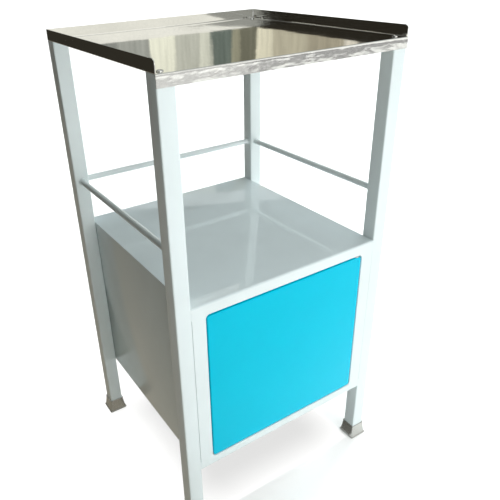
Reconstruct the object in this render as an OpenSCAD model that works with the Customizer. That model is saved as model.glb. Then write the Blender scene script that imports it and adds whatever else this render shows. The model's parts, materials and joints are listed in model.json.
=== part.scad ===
// Hospital bedside cabinet: a square-tube frame carries a sheet-steel cupboard with one
// hinged door, an open bay with three guard rods above it, and a stainless tray on top.
// +X is to the viewer's right, the door faces -Y, +Z is up, and the origin is the middle
// of the floor area, between the four shoes.

/* [Frame] */
// Width over the legs
frame_w = 410; // [360:1:450]
// Depth over the legs
frame_d = 382; // [340:1:450]
// Height of the tray floor above the ground
tray_floor_z = 784; // [700:1:850]
// Side of the square tube
tube = 25.4; // [22:0.1:32]
// Wall of the square tube
tube_wall = 1.2; // [1:0.1:2]
// Outer corner radius of the square tube
tube_r = 2; // [1.5:0.1:3]

/* [Cupboard] */
// Height of the deck, the top of the cupboard
deck_z = 460; // [430:1:500]
// Height of the underside of the cupboard
base_z = 136; // [110:1:160]
// Thickness of the painted sheet
sheet = 1; // [0.8:0.1:1.5]
// Radius of the bend along the front edge of the deck and of the base
fold_r = 3; // [2:0.5:5]
// Width of each upright of the front frame
stile_w = 23.6; // [20:0.1:30]
// Height of the front frame's top rail
top_rail_h = 20; // [16:1:28]
// Height of the front frame's bottom rail
bottom_rail_h = 17; // [14:1:28]
// Depth of the lip that is turned in around the door opening
lip_d = 13; // [11:1:16]

/* [Door] */
// Gap between the door and the front frame, at the sides and below
door_gap = 2; // [1.8:0.1:3]
// Gap between the door and the front frame, above
door_top_gap = 3; // [2:0.1:4]
// Thickness of the door
door_t = 18; // [16:1:22]
// Radius of the door's corners
door_r = 5; // [3:0.5:8]
// Distance from the pivot to the door's hinge edge
pivot_in = 8; // [8:0.5:12]
// Distance from the pivot to the door's front face
pivot_back = 5; // [5:0.1:5.5]
// Radius of the pivot pins
pin_r = 2.5; // [2:0.1:2.8]
// Radial clearance of the pins in the door's bushes
pin_clear = 0.05; // [0.02:0.01:0.1]

/* [Rods] */
// Diameter of the guard rods
rod_dia = 10; // [8:0.5:14]
// Height of the guard rods above the deck
rod_above_deck = 84.5; // [50:0.5:150]
// Width of the weld fillet at each end of a rod
rod_weld = 4; // [1:0.5:5]

/* [Tray] */
// Height of the tray's turned-up rims
rim_h = 16; // [10:1:30]
// Height of the lip turned down in front
front_lip_h = 16; // [10:1:30]
// Thickness of the stainless sheet
tray_sheet = 1; // [0.8:0.1:1.2]
// Radius of the rims' free top corners
rim_corner_r = 5; // [2:0.5:8]
// Open gap where a side rim meets the back rim
rim_gap = 0.6; // [0.4:0.1:1.5]

/* [Shoes] */
// How far a shoe's base stands out past the tube
shoe_flare = 5.9; // [4:0.1:10]
// Height of the upright edge around a shoe's base
shoe_edge_h = 2.5; // [1:0.5:4]
// Height at which a shoe's flare has run out into its sleeve
shoe_flare_h = 20; // [14:0.5:26]
// Height of a whole shoe
shoe_h = 28; // [20:1:40]
// Wall of a shoe around the tube
shoe_wall = 1.8; // [1.5:0.1:3]

/* [Hidden] */
$fn = 48;
// How far a cutter runs past the face that it cuts
cut = 1;

// Finishes
white_coat = [0.9, 0.91, 0.9];
panel_coat = [0.72, 0.79, 0.8];
cyan_coat = [0, 0.8, 0.93];
stainless = [0.78, 0.78, 0.75];
zinc = [0.62, 0.62, 0.62];
grey_pvc = [0.6, 0.6, 0.58];
nylon = [0.9, 0.9, 0.87];
ferrite = [0.25, 0.25, 0.25];

// Frame
half_w = frame_w / 2;
half_d = frame_d / 2;
leg_x = half_w - tube / 2;
leg_y = half_d - tube / 2;
inner_x = half_w - tube;
inner_y = half_d - tube;
shoe_floor = 4;
shoe_base_r = 2.5;
shoe_sleeve_r = 2.5;
cap_t = 3;
leg_top_z = tray_floor_z - tray_sheet;
rod_z = deck_z + rod_above_deck;

// Tray screws, from the shank outwards
screw_r = 2.4;
screw_hole_r = 2.5;
screw_head_r = 4.5;
screw_head_h = 2;
screw_dome_r = 7;
screw_len = 10;
recess_w = 4.4;
recess_t = 0.9;
recess_d = 1.2;

// Cupboard
front_y = -half_d;
box_top_z = deck_z - sheet;
box_base_z = base_z + sheet;
open_x = inner_x - stile_w;
open_top_z = deck_z - top_rail_h;
open_base_z = base_z + bottom_rail_h;
open_r = door_r + door_gap;
lip_back_y = front_y + lip_d;

// Door
door_x = open_x - door_gap;
door_top_z = open_top_z - door_top_gap;
door_base_z = open_base_z + door_gap;
door_h = door_top_z - door_base_z;
door_mid_z = (door_top_z + door_base_z) / 2;
door_back_y = front_y + door_t;
pivot_x = door_x - pivot_in;
pivot_y = front_y + pivot_back;
hang_gap = 0.3;
bush_r = 3.8;
bush_flange_r = 4.7;
bush_len = 5;
plate_t = 3;
plate_w = 20;
plate_d = 12;
pin_head_r = 3.8;
pin_head_h = 2;
pin_hole_clear = 0.1;
pin_reach = 6;
stiffener_top = 30;
stiffener_flange = 12;
stiffener_len = door_h - 4 * door_r;

// Magnetic catch, on the side panel across from the hinges
catch_rise = 70;
catch_z = door_mid_z + catch_rise;
catch_h = 36;
catch_d = 15;
catch_gap = 0.3;
pole_t = 2;
pole_stand = 0.7;
pole_len = 20;
pole_depth = 10;
magnet_t = 5;
magnet_set = 0.5;
striker_t = 1.5;
striker_h = 34;
striker_w = 14;
striker_r = 2;
striker_edge = 4;
catch_front_y = door_back_y + striker_t + catch_gap + pole_stand;
catch_x = -door_x + striker_edge + striker_w / 2;
catch_wall = 3.5;
catch_end_x = catch_x + magnet_t / 2 + pole_t + catch_wall;
panel_x = -(inner_x - sheet);
ear_h = 9;
ear_t = 3;
stud_r = 1.7;
stud_hole_r = 1.8;
stud_len = 7;
nut_r = 3.4;
nut_t = 2.4;
rivet_r = 1.6;
rivet_z = striker_h / 3;
rivet_tail = 1.5;

// A rectangle with true round corners, centred on the origin
module round_rect(w, h, r) {
    square([w - 2 * r, h], center = true);
    square([w, h - 2 * r], center = true);
    for (sx = [-1, 1], sy = [-1, 1])
        translate([sx * (w / 2 - r), sy * (h / 2 - r)]) circle(r);
}

// A flat shape drawn in X and Z, given a thickness from y0 back to y1
module wall_xz(y0, y1) {
    translate([0, y1, 0]) rotate([90, 0, 0]) linear_extrude(y1 - y0) children();
}

// A flat shape drawn in Y and Z, given a length from x0 to x1
module run_x(x0, x1) {
    translate([x0, 0, 0]) rotate([90, 0, 90]) linear_extrude(x1 - x0) children();
}

// A box from its lowest and its highest corner
module block(low, high) {
    translate(low) cube(high - low);
}

// Children placed at every corner leg
module at_legs() {
    for (sx = [-1, 1], sy = [-1, 1])
        translate([sx * leg_x, sy * leg_y, 0]) children();
}

// Tray: one folded sheet, with rims left, right and behind and a lip turned down in front
module rim_side(sx) {
    low = min(sx * half_w, sx * (half_w - tray_sheet));
    run_x(low, low + tray_sheet) difference() {
        translate([front_y, leg_top_z]) square([frame_d - tray_sheet - rim_gap, rim_h + tray_sheet]);
        difference() {
            translate([front_y - cut, tray_floor_z + rim_h - rim_corner_r])
                square([rim_corner_r + cut, rim_corner_r + cut]);
            translate([front_y + rim_corner_r, tray_floor_z + rim_h - rim_corner_r])
                circle(rim_corner_r);
        }
    }
}

module top_tray() {
    color(stainless) difference() {
        union() {
            block([-half_w, front_y - tray_sheet, leg_top_z], [half_w, half_d, tray_floor_z]);
            for (sx = [-1, 1]) rim_side(sx);
            wall_xz(half_d - tray_sheet, half_d)
                translate([-half_w, leg_top_z]) square([frame_w, rim_h + tray_sheet]);
            wall_xz(front_y - tray_sheet, front_y)
                translate([-half_w, tray_floor_z - front_lip_h]) square([frame_w, front_lip_h]);
        }
        at_legs() translate([0, 0, leg_top_z - cut]) cylinder(r = screw_hole_r, h = tray_sheet + 2 * cut);
    }
}

// Pan-head screw with a cross recess, its head resting on the tray
module pan_screw() {
    difference() {
        union() {
            translate([0, 0, -screw_len]) cylinder(r = screw_r, h = screw_len);
            intersection() {
                cylinder(r = screw_head_r, h = screw_head_h);
                translate([0, 0, screw_head_h - screw_dome_r]) sphere(screw_dome_r);
            }
        }
        for (turn = [0, 90]) rotate([0, 0, turn])
            translate([0, 0, screw_head_h]) cube([recess_w, recess_t, 2 * recess_d], center = true);
    }
}

module tray_screws() {
    color(stainless) at_legs() translate([0, 0, tray_floor_z]) pan_screw();
}

// Plates welded into the tops of the legs, tapped for the tray screws
module leg_caps() {
    color(white_coat) at_legs() translate([0, 0, leg_top_z - cap_t])
        linear_extrude(cap_t) difference() {
            round_rect(tube - 2 * tube_wall, tube - 2 * tube_wall, tube_r - tube_wall);
            circle(screw_hole_r);
        }
}

// Square-tube leg
module leg(sx, sy) {
    color(white_coat) translate([sx * leg_x, sy * leg_y, shoe_floor])
        linear_extrude(leg_top_z - shoe_floor) difference() {
            round_rect(tube, tube, tube_r);
            round_rect(tube - 2 * tube_wall, tube - 2 * tube_wall, tube_r - tube_wall);
        }
}

// Side outline of a shoe's base, drawn in X and Z: an upright edge, then a hollow flare
module flare_profile() {
    foot = tube / 2 + shoe_flare;
    sleeve = tube / 2 + shoe_wall;
    flare_w = foot - sleeve;
    flare_r = (pow(flare_w, 2) + pow(shoe_flare_h - shoe_edge_h, 2)) / (2 * flare_w);
    difference() {
        translate([-foot, 0]) square([2 * foot, shoe_flare_h]);
        for (sx = [-1, 1]) translate([sx * (sleeve + flare_r), shoe_flare_h]) circle(flare_r);
    }
}

// Shoe: a closed cup around the foot of the tube on a flared base
module shoe(sx, sy) {
    flare_w = tube + 2 * shoe_flare;
    sleeve_w = tube + 2 * shoe_wall;
    color(grey_pvc) translate([sx * leg_x, sy * leg_y, 0]) difference() {
        union() {
            intersection() {
                linear_extrude(shoe_flare_h) round_rect(flare_w, flare_w, shoe_base_r);
                wall_xz(-flare_w / 2, flare_w / 2) flare_profile();
                run_x(-flare_w / 2, flare_w / 2) flare_profile();
            }
            linear_extrude(shoe_h) round_rect(sleeve_w, sleeve_w, shoe_sleeve_r);
        }
        translate([0, 0, shoe_floor]) linear_extrude(shoe_h) round_rect(tube, tube, tube_r);
    }
}

// Round guard rod along Z, with a weld fillet at each end
module rod(len) {
    color(white_coat) rotate_extrude() difference() {
        union() {
            square([rod_dia / 2, len]);
            square([rod_dia / 2 + rod_weld, rod_weld]);
            translate([0, len - rod_weld]) square([rod_dia / 2 + rod_weld, rod_weld]);
        }
        translate([rod_dia / 2 + rod_weld, rod_weld]) circle(rod_weld);
        translate([rod_dia / 2 + rod_weld, len - rod_weld]) circle(rod_weld);
    }
}

module rod_side(sx) {
    translate([sx * leg_x, -inner_y, rod_z]) rotate([-90, 0, 0]) rod(2 * inner_y);
}

module rod_back() {
    translate([-inner_x, leg_y, rod_z]) rotate([0, 90, 0]) rod(2 * inner_x);
}

// Quarter bend of sheet along the front edge, drawn in Y and Z with its top at z = 0
module front_bend_profile(depth) {
    difference() {
        union() {
            translate([front_y + fold_r, -sheet]) square([depth - fold_r, sheet]);
            intersection() {
                translate([front_y + fold_r, -fold_r]) circle(fold_r);
                translate([front_y, -fold_r]) square([fold_r, fold_r]);
            }
        }
        translate([front_y + fold_r, -fold_r]) circle(fold_r - sheet);
    }
}

// Deck: the cupboard's top sheet, bent down along its front edge
module deck_panel() {
    color(panel_coat) run_x(-inner_x, inner_x)
        translate([0, deck_z]) front_bend_profile(frame_d);
}

// Base: the cupboard's bottom sheet, bent up along its front edge
module base_panel() {
    color(panel_coat) run_x(-inner_x, inner_x)
        translate([0, base_z]) mirror([0, 1]) front_bend_profile(frame_d);
}

// Side panel: its two front corners are rounded to sit inside the bends of deck and base
module side_panel(sx) {
    low = min(sx * inner_x, sx * (inner_x - sheet));
    corner_r = fold_r - sheet;
    panel_h = box_top_z - box_base_z;
    color(panel_coat) run_x(low, low + sheet) translate([front_y + sheet, box_base_z]) {
        translate([corner_r, 0]) square([frame_d - 2 * sheet - corner_r, panel_h]);
        translate([0, corner_r]) square([frame_d - 2 * sheet, panel_h - 2 * corner_r]);
        for (z = [corner_r, panel_h - corner_r]) translate([corner_r, z]) circle(corner_r);
    }
}

module back_panel() {
    color(panel_coat)
        block([-inner_x, half_d - sheet, box_base_z], [inner_x, half_d, box_top_z]);
}

// Front frame: one sheet with the door opening cut out and its edge turned in
module front_frame() {
    mid_z = (open_top_z + open_base_z) / 2;
    open_h = open_top_z - open_base_z;
    color(white_coat) difference() {
        union() {
            block([-inner_x, front_y, base_z + fold_r], [inner_x, front_y + sheet, deck_z - fold_r]);
            wall_xz(front_y, lip_back_y) translate([0, mid_z])
                round_rect(2 * (open_x + sheet), open_h + 2 * sheet, open_r + sheet);
        }
        wall_xz(front_y - cut, lip_back_y + cut) translate([0, mid_z])
            round_rect(2 * open_x, open_h, open_r);
        translate([pivot_x, pivot_y, open_base_z - sheet - cut])
            cylinder(r = pin_r + pin_hole_clear, h = open_h + 2 * sheet + 2 * cut);
    }
}

// Pivot pin, drawn with its head above z = 0 and its shank below
module pivot_pin(shank) {
    color(zinc) {
        cylinder(r = pin_head_r, h = pin_head_h);
        translate([0, 0, -shank]) cylinder(r = pin_r, h = shank);
    }
}

module hinge_pin_upper() {
    translate([pivot_x, pivot_y, open_top_z + sheet]) pivot_pin(sheet + door_top_gap + pin_reach);
}

module hinge_pin_lower() {
    translate([pivot_x, pivot_y, open_base_z - sheet]) mirror([0, 0, 1])
        pivot_pin(sheet + door_gap + pin_reach);
}

// Bush in the door, drawn with its flange above z = 0 and its barrel below
module pivot_bush() {
    color(nylon) difference() {
        union() {
            cylinder(r = bush_flange_r, h = door_gap - hang_gap);
            translate([0, 0, -bush_len]) cylinder(r = bush_r, h = bush_len);
        }
        translate([0, 0, -bush_len - cut])
            cylinder(r = pin_r + pin_clear, h = bush_len + door_gap + 2 * cut);
    }
}

module pivot_bush_upper() {
    translate([pivot_x, pivot_y, door_top_z]) pivot_bush();
}

module pivot_bush_lower() {
    translate([pivot_x, pivot_y, door_base_z]) mirror([0, 0, 1]) pivot_bush();
}

// Everything inside the door pan, from y0 back to y1
module door_room(y0, y1) {
    wall_xz(y0, y1) translate([0, door_mid_z])
        round_rect(2 * (door_x - sheet), door_h - 2 * sheet, door_r - sheet);
}

// Reinforcing plate welded inside a corner of the door, between the heights z0 and z1
module pivot_plate(z0, z1) {
    back_y = front_y + sheet + plate_d;
    color(zinc) difference() {
        intersection() {
            door_room(front_y + sheet, back_y);
            block([door_x - sheet - plate_w, front_y, z0], [door_x, back_y, z1]);
        }
        translate([pivot_x, pivot_y, z0 - cut]) cylinder(r = bush_r, h = plate_t + 2 * cut);
    }
}

// Door pan: the outer skin with its four edges turned back
module door_pan() {
    color(cyan_coat) difference() {
        wall_xz(front_y, door_back_y) translate([0, door_mid_z])
            round_rect(2 * door_x, door_h, door_r);
        door_room(front_y + sheet, door_back_y + cut);
        for (z0 = [door_top_z - sheet, door_base_z])
            translate([pivot_x, pivot_y, z0 - cut]) cylinder(r = bush_r, h = sheet + 2 * cut);
    }
}

// Liner: the flat inner skin, set in between the pan's turned edges
module door_liner() {
    color(cyan_coat) difference() {
        door_room(door_back_y - sheet, door_back_y);
        for (sz = [-1, 1]) translate([catch_x, door_back_y + cut, catch_z + sz * rivet_z])
            rotate([90, 0, 0]) cylinder(r = rivet_r, h = sheet + 2 * cut);
    }
}

// Stiffener: a hat section that ties the pan to the liner
module door_stiffener() {
    skin_y = front_y + sheet;
    liner_y = door_back_y - sheet;
    web_x = stiffener_top / 2;
    color(zinc) translate([0, 0, door_mid_z - stiffener_len / 2]) linear_extrude(stiffener_len) {
        translate([-web_x, liner_y - sheet]) square([stiffener_top, sheet]);
        for (sx = [-1, 1]) {
            translate([sx * (web_x - sheet / 2) - sheet / 2, skin_y]) square([sheet, liner_y - skin_y]);
            translate([sx * (web_x + stiffener_flange / 2 - sheet) - stiffener_flange / 2, skin_y])
                square([stiffener_flange, sheet]);
        }
    }
}

// Striker: the steel plate on the liner that the catch holds
module striker_plate() {
    color(zinc) wall_xz(door_back_y, door_back_y + striker_t)
        translate([catch_x, catch_z]) difference() {
            round_rect(striker_w, striker_h, striker_r);
            for (sz = [-1, 1]) translate([0, sz * rivet_z]) circle(rivet_r);
        }
}

module striker_rivets() {
    color(zinc) for (sz = [-1, 1])
        translate([catch_x, door_back_y + striker_t, catch_z + sz * rivet_z])
            rotate([90, 0, 0]) cylinder(r = rivet_r, h = striker_t + sheet + rivet_tail);
}

// Places the children on the left side panel at the catch's two fixings, +Z into the cupboard
module at_catch_fixings() {
    for (sz = [-1, 1])
        translate([panel_x, catch_front_y + catch_d / 2, catch_z + sz * (catch_h + ear_h) / 2])
            rotate([0, 90, 0]) children();
}

// Catch housing: a moulded block on the side panel with an ear above and below
module catch_housing() {
    slot = magnet_t / 2 + pole_t;
    color(nylon) difference() {
        union() {
            block([panel_x, catch_front_y, catch_z - catch_h / 2],
                  [catch_end_x, catch_front_y + catch_d, catch_z + catch_h / 2]);
            block([panel_x, catch_front_y, catch_z - catch_h / 2 - ear_h],
                  [panel_x + ear_t, catch_front_y + catch_d, catch_z + catch_h / 2 + ear_h]);
        }
        block([catch_x - slot, catch_front_y - cut, catch_z - pole_len / 2],
              [catch_x + slot, catch_front_y + pole_depth, catch_z + pole_len / 2]);
        at_catch_fixings() translate([0, 0, -cut]) cylinder(r = stud_hole_r, h = ear_t + 2 * cut);
    }
}

module catch_magnet() {
    color(ferrite)
        block([catch_x - magnet_t / 2, catch_front_y + magnet_set, catch_z - pole_len / 2],
              [catch_x + magnet_t / 2, catch_front_y + pole_depth, catch_z + pole_len / 2]);
}

// The two steel poles either side of the magnet, standing out towards the striker
module catch_poles() {
    color(zinc) for (sx = [-1, 1]) {
        mid = catch_x + sx * (magnet_t + pole_t) / 2;
        block([mid - pole_t / 2, catch_front_y - pole_stand, catch_z - pole_len / 2],
              [mid + pole_t / 2, catch_front_y + pole_depth, catch_z + pole_len / 2]);
    }
}

// Studs welded to the side panel
module catch_studs() {
    color(zinc) at_catch_fixings() cylinder(r = stud_r, h = stud_len);
}

// Hexagon nuts that hold the catch on its studs
module catch_nuts() {
    color(zinc) at_catch_fixings() translate([0, 0, ear_t]) difference() {
        cylinder(r = nut_r, h = nut_t, $fn = 6);
        translate([0, 0, -cut]) cylinder(r = stud_r, h = nut_t + 2 * cut);
    }
}

top_tray();
tray_screws();
leg_caps();
leg(-1, -1);  // leg_front_left
leg(1, -1);  // leg_front_right
leg(-1, 1);  // leg_back_left
leg(1, 1);  // leg_back_right
shoe(-1, -1);  // shoe_front_left
shoe(1, -1);  // shoe_front_right
shoe(-1, 1);  // shoe_back_left
shoe(1, 1);  // shoe_back_right
rod_side(-1);  // rod_left
rod_side(1);  // rod_right
rod_back();
deck_panel();
side_panel(-1);  // side_panel_left
side_panel(1);  // side_panel_right
back_panel();
base_panel();
front_frame();
hinge_pin_upper();
hinge_pin_lower();
catch_housing();
catch_magnet();
catch_poles();
catch_studs();
catch_nuts();
door_pan();
door_liner();
door_stiffener();
pivot_plate(door_top_z - sheet - plate_t, door_top_z - sheet);  // pivot_plate_upper
pivot_plate(door_base_z + sheet, door_base_z + sheet + plate_t);  // pivot_plate_lower
pivot_bush_upper();
pivot_bush_lower();
striker_plate();
striker_rivets();
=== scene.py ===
"""Hospital bedside cabinet: the looks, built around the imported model.

Each operator makes one piece or one group of like pieces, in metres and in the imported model's own
frame. Run as a script it makes them all, then the stage.
"""

import json
import math

import bmesh
import bpy
from mathutils import Matrix, Vector, noise


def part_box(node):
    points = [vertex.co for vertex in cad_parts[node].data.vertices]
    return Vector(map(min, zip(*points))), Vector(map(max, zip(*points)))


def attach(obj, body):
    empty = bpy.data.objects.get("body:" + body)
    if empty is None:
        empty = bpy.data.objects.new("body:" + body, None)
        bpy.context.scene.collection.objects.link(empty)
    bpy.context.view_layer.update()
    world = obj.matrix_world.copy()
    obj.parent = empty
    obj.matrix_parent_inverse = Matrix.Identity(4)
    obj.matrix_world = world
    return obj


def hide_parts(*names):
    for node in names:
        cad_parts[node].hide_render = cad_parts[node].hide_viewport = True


bl_info = {
    "name": "Bedside Cabinet",
    "version": (1, 0, 0),
    "blender": (4, 5, 0),
    "location": "View3D > Sidebar > Cabinet",
    "description": "Builds a hospital bedside cabinet in powder-coated steel with a stainless tray",
    "category": "Add Mesh",
}

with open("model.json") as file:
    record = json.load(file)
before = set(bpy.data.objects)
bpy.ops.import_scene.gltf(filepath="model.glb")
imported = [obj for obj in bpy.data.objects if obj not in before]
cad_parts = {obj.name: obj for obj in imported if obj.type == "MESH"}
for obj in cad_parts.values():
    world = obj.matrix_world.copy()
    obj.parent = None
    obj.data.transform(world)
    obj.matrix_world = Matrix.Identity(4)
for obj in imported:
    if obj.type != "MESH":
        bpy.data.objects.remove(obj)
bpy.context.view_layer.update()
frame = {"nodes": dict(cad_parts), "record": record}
MM = 0.001
CABINET = "cabinet"
DOOR = "door"


# ---------------------------------------------------------------- sizes and colours


def linear(hex_colour):
    """An sRGB hex value as linear red, green, blue and alpha."""
    parts = [int(hex_colour[i : i + 2], 16) / 255 for i in (1, 3, 5)]
    return tuple(c / 12.92 if c <= 0.04045 else ((c + 0.055) / 1.055) ** 2.4 for c in parts) + (1.0,)


def length(name, description, default):
    """A length property, in metres."""
    return bpy.props.FloatProperty(
        name=name, description=description, default=default, min=0.0, precision=4,
        unit="LENGTH", subtype="DISTANCE",
    )


def colour(name, description, hex_colour):
    """A colour property, its default given as sRGB hex."""
    return bpy.props.FloatVectorProperty(
        name=name, description=description, default=linear(hex_colour), size=4,
        min=0.0, max=1.0, subtype="COLOR",
    )


class CabinetSizes(bpy.types.PropertyGroup):
    """Sizes that finish the pieces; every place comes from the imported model."""

    sheet: length("Sheet", "Thickness of the painted sheet", 1.0 * MM)
    tube_wall: length("Tube wall", "Wall of the square tube", 1.2 * MM)
    tube_radius: length("Tube radius", "Outer corner radius of the square tube", 2.0 * MM)
    tray_fold: length("Tray fold", "Outer radius of the tray's folds", 1.3 * MM)
    rim_corner: length("Rim corner", "Radius of the free corners of the tray's rims", 5.0 * MM)
    rim_lean: length("Rim lean", "How far the back rim's top leans in over the tray", 0.3 * MM)
    tray_dents: length("Tray dents", "How deep the hand-folded rims waver", 0.5 * MM)
    lip_dents: length("Lip dents", "How deep the beaten front lip is dented", 0.35 * MM)
    deck_fold: length("Deck fold", "Outer radius of the deck's front bend", 3.0 * MM)
    door_corner: length("Door corner", "Radius of the door's corners", 5.0 * MM)
    door_edge: length("Door edge", "Radius of the bend round the door's front face", 0.9 * MM)
    door_gap: length("Door gap", "Gap between door and front frame, at the sides and below", 2.0 * MM)
    door_top_gap: length("Door top gap", "Gap between door and front frame, above", 3.0 * MM)
    frame_edge: length("Frame edge", "Radius of the bend round the door opening", 0.9 * MM)
    panel_gap: length("Panel gap", "Open seam between the side and back sheets and the legs", 0.6 * MM)
    tack_bead: length("Tack bead", "Radius of the tack welds that hold the side sheets", 1.6 * MM)
    rod_radius: length("Rod radius", "Radius of the guard rods", 5.0 * MM)
    shoe_edge: length("Shoe edge", "Height of the upright edge round a shoe's foot", 2.5 * MM)
    shoe_wall: length("Shoe wall", "Wall of a shoe round the tube", 1.8 * MM)


class CabinetColours(bpy.types.PropertyGroup):
    """Colours of the finishes."""

    frame_white: colour("Frame white", "Powder coat on tubes, rods and front frame", "#EBF5F6")
    panel_grey: colour("Panel grey", "Powder coat on deck, sides, back and base", "#E8F4F6")
    door_cyan: colour("Door cyan", "Powder coat on the door", "#00CDEC")
    stainless: colour("Stainless", "Polished stainless sheet", "#DCDBD6")
    shoe_grey: colour("Shoe grey", "Moulded shoes", "#C9C9C4")
    zinc: colour("Zinc", "Zinc-plated steel", "#B4B6B6")
    nylon: colour("Nylon", "Bushes and catch housing", "#E4E2DA")
    ferrite: colour("Ferrite", "Catch magnet", "#2A2A2B")
    floor: colour("Floor", "Studio floor", "#F4F4F3")


def sizes():
    """The sizes in use."""
    return bpy.context.scene.cabinet_sizes


def colours():
    """The colours in use."""
    return bpy.context.scene.cabinet_colours


# ---------------------------------------------------------------- materials


def add_node(tree, kind, settings=None, **inputs):
    """Adds a node: settings are its own attributes, inputs are values or sockets to link in."""
    node = tree.nodes.new(kind)
    for key, value in (settings or {}).items():
        setattr(node, key, value)
    for key, value in inputs.items():
        socket = node.inputs[int(key[1:]) if key[0] == "i" and key[1:].isdigit() else key.replace("_", " ")]
        if isinstance(value, bpy.types.NodeSocket):
            tree.links.new(value, socket)
        else:
            socket.default_value = value
    return node


def new_material(name):
    """An empty material, with its tree, its Principled shader and its Object coordinates."""
    material = bpy.data.materials.new(name)
    material.use_nodes = True
    tree = material.node_tree
    tree.nodes.clear()
    shader = add_node(tree, "ShaderNodeBsdfPrincipled")
    output = add_node(tree, "ShaderNodeOutputMaterial")
    tree.links.new(shader.outputs["BSDF"], output.inputs["Surface"])
    place = add_node(tree, "ShaderNodeTexCoord").outputs["Object"]
    return material, tree, shader, place


def cells_per_metre(size_mm):
    """Noise scale whose features are about size_mm across."""
    return 1000.0 / size_mm


def tint(tree, base, factor, darker):
    """base mixed towards a darker tone of itself where factor is high."""
    low = tuple(c * darker for c in base[:3]) + (1.0,)
    mix = add_node(tree, "ShaderNodeMix", {"data_type": "RGBA"}, i0=factor, i6=tuple(base), i7=low)
    return mix.outputs[2]


def powder_coat(name, base, roughness=0.2, grime=0.5, gloss=0.5):
    """Epoxy powder coat, sprayed dry and baked: a thick glossy skin whose orange peel softens
    reflections, with a little handling dirt that dulls it in patches."""
    material, tree, shader, place = new_material(name)
    # Handling dirt lies in patches about 90 mm across.
    cloud = add_node(tree, "ShaderNodeTexNoise", None, Vector=place, Scale=cells_per_metre(90), Detail=3.0)
    dirt = add_node(
        tree, "ShaderNodeMapRange", None,
        Value=cloud.outputs["Fac"], From_Min=0.45, From_Max=0.8, To_Min=0.0, To_Max=grime,
    )
    tree.links.new(tint(tree, base, dirt.outputs["Result"], 0.86), shader.inputs["Base Color"])
    # Wiping has left the gloss uneven over some 30 mm.
    fine = add_node(tree, "ShaderNodeTexNoise", None, Vector=place, Scale=cells_per_metre(30), Detail=4.0)
    rough = add_node(
        tree, "ShaderNodeMapRange", None,
        Value=fine.outputs["Fac"], From_Min=0.3, From_Max=0.7, To_Min=roughness * 0.8, To_Max=roughness * 1.3,
    )
    tree.links.new(rough.outputs["Result"], shader.inputs["Roughness"])
    # Orange peel is about 2 mm across; the sheet under it wavers over some 120 mm.
    peel = add_node(tree, "ShaderNodeTexNoise", None, Vector=place, Scale=cells_per_metre(2.2), Detail=1.0)
    peel_bump = add_node(
        tree, "ShaderNodeBump", None, Height=peel.outputs["Fac"], Strength=0.12, Distance=0.02 * MM
    )
    waver = add_node(tree, "ShaderNodeTexNoise", None, Vector=place, Scale=cells_per_metre(120), Detail=1.0)
    bump = add_node(
        tree, "ShaderNodeBump", None,
        Height=waver.outputs["Fac"], Normal=peel_bump.outputs["Normal"], Strength=0.5, Distance=0.2 * MM,
    )
    tree.links.new(bump.outputs["Normal"], shader.inputs["Normal"])
    shader.inputs["Specular IOR Level"].default_value = gloss
    shader.inputs["IOR"].default_value = 1.5
    return material


def polished_stainless():
    """Cold-rolled 304 sheet, mirror polished and then folded by hand: a faint yellow-grey mirror
    whose reflections break into streaks along the rolling and polishing direction."""
    material, tree, shader, place = new_material("polished_304_stainless")
    base = colours().stainless
    # Polishing streaks are about 5 mm wide and run from front to back, 20 times as long.
    stretch = add_node(tree, "ShaderNodeMapping", None, Vector=place, Scale=(1.0, 0.05, 1.0))
    streak = add_node(
        tree, "ShaderNodeTexNoise", None,
        Vector=stretch.outputs["Vector"], Scale=cells_per_metre(5.0), Detail=5.0, Roughness=0.65,
    )
    tree.links.new(tint(tree, base, streak.outputs["Fac"], 0.88), shader.inputs["Base Color"])
    rough = add_node(
        tree, "ShaderNodeMapRange", None,
        Value=streak.outputs["Fac"], From_Min=0.3, From_Max=0.7, To_Min=0.03, To_Max=0.09,
    )
    # The thin sheet is never quite flat: it wavers over some 70 mm.
    waver = add_node(tree, "ShaderNodeTexNoise", None, Vector=place, Scale=cells_per_metre(70), Detail=2.0)
    wave_bump = add_node(
        tree, "ShaderNodeBump", None, Height=waver.outputs["Fac"], Strength=0.5, Distance=0.6 * MM
    )
    # The lip below the floor was beaten over by hand: duller, with dents some 18 mm long and 9 mm high.
    floor_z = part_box("leg_front_left")[1].z
    fade = 3 * MM
    height = add_node(tree, "ShaderNodeSeparateXYZ", None, Vector=place)
    on_lip = add_node(
        tree, "ShaderNodeMapRange", None,
        Value=height.outputs["Z"], From_Min=floor_z, From_Max=floor_z - fade, To_Min=0.0, To_Max=0.9,
    )
    scuffed = add_node(
        tree, "ShaderNodeMath", {"operation": "MULTIPLY_ADD"},
        i0=on_lip.outputs["Result"], i1=0.1, i2=rough.outputs["Result"],
    )
    tree.links.new(scuffed.outputs["Value"], shader.inputs["Roughness"])
    squat = add_node(tree, "ShaderNodeMapping", None, Vector=place, Scale=(0.5, 1.0, 1.0))
    dents = add_node(
        tree, "ShaderNodeTexNoise", None, Vector=squat.outputs["Vector"], Scale=cells_per_metre(9), Detail=1.5
    )
    dent_bump = add_node(
        tree, "ShaderNodeBump", None,
        Height=dents.outputs["Fac"], Strength=on_lip.outputs["Result"],
        Normal=wave_bump.outputs["Normal"], Distance=0.5 * MM,
    )
    bump = add_node(
        tree, "ShaderNodeBump", None,
        Height=streak.outputs["Fac"], Normal=dent_bump.outputs["Normal"], Strength=0.25, Distance=0.03 * MM,
    )
    tree.links.new(bump.outputs["Normal"], shader.inputs["Normal"])
    shader.inputs["Metallic"].default_value = 1.0
    return material


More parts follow.
